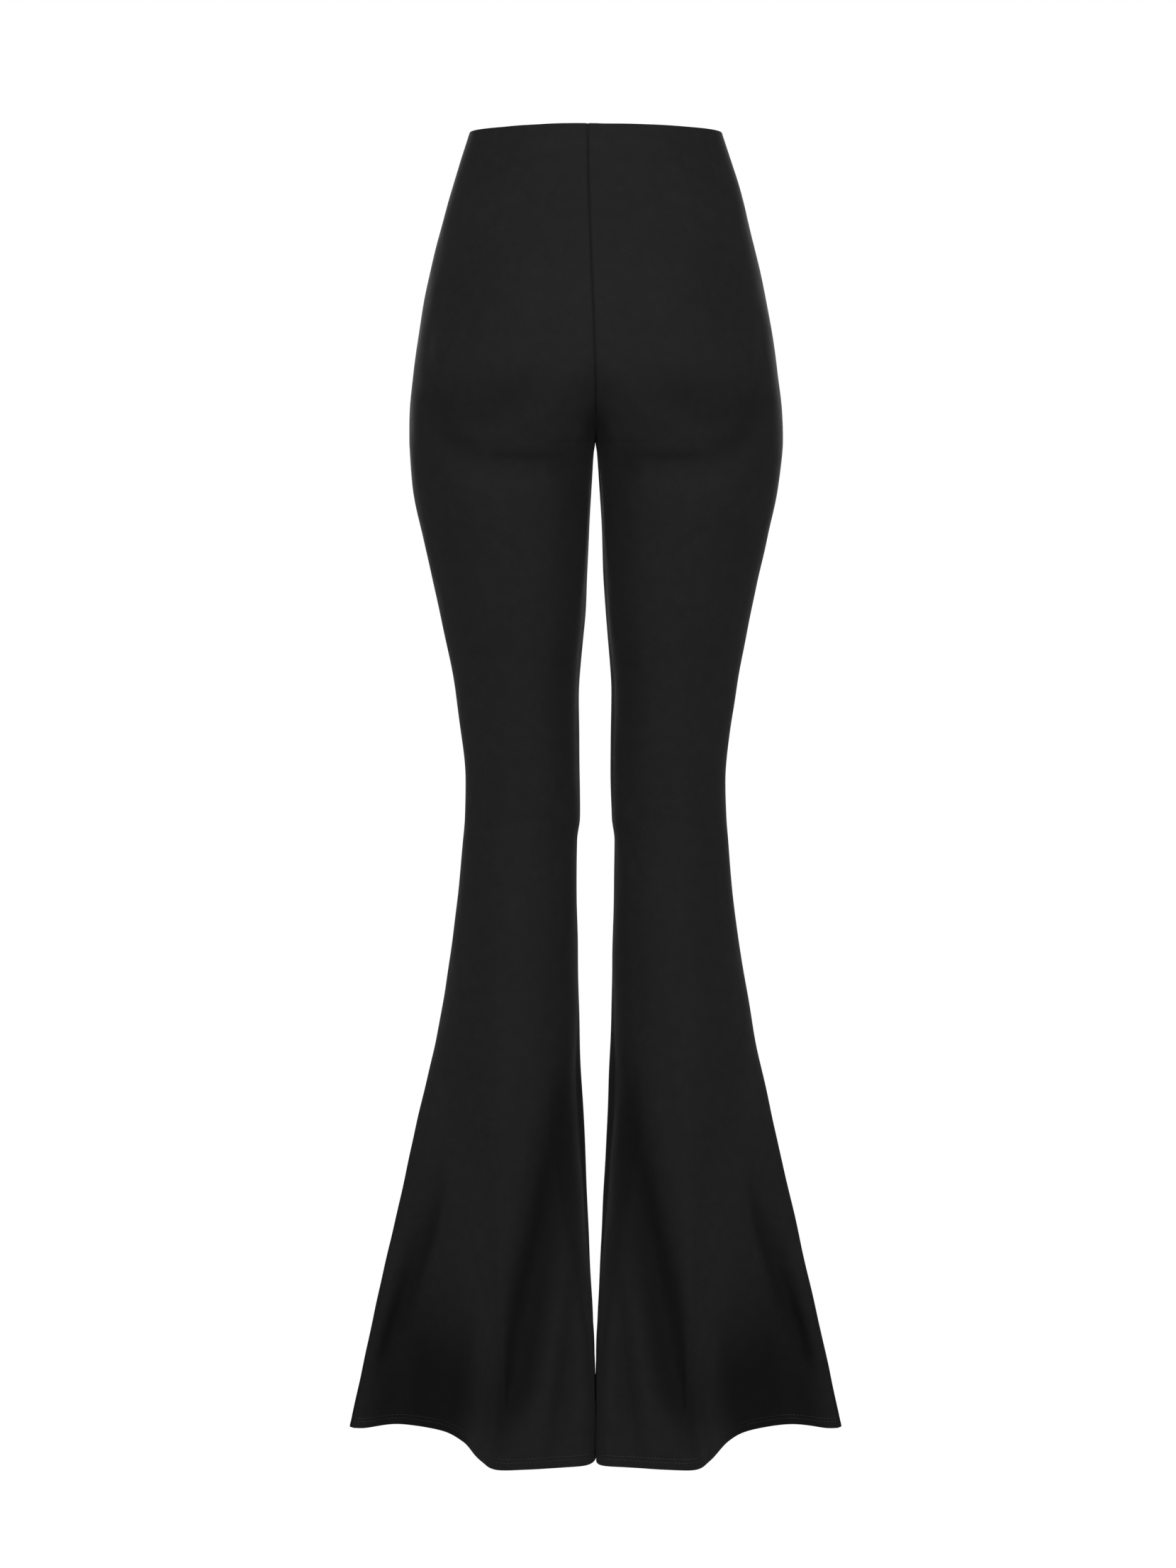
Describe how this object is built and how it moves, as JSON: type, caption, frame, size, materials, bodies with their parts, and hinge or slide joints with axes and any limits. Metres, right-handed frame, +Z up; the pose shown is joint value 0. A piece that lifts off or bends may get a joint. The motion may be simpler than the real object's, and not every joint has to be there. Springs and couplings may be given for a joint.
{
  "type": "flared trousers",
  "caption": "High-waisted pull-on flared trousers in plain black stretch cloth, close to the knee, then widening to fluted hems; worn form, hollow, open at the waist and the hems.",
  "frame": {"origin": "the middle of the waist opening, level with the waist edge, where the wearer's waist holds the trousers", "axes": "+Z up, the back faces -Y and the front +Y, +X is the wearer's right"},
  "size_m": [0.4338, 0.2243, 1.138],
  "materials": {
    "black_cloth": "matte black stretch crepe jersey, plain, with sewn seams and stitched hems"
  },
  "bodies": {
    "root": {"back_left": "black_cloth", "back_right": "black_cloth", "front_left": "black_cloth", "front_right": "black_cloth"}
  },
  "joints": []
}
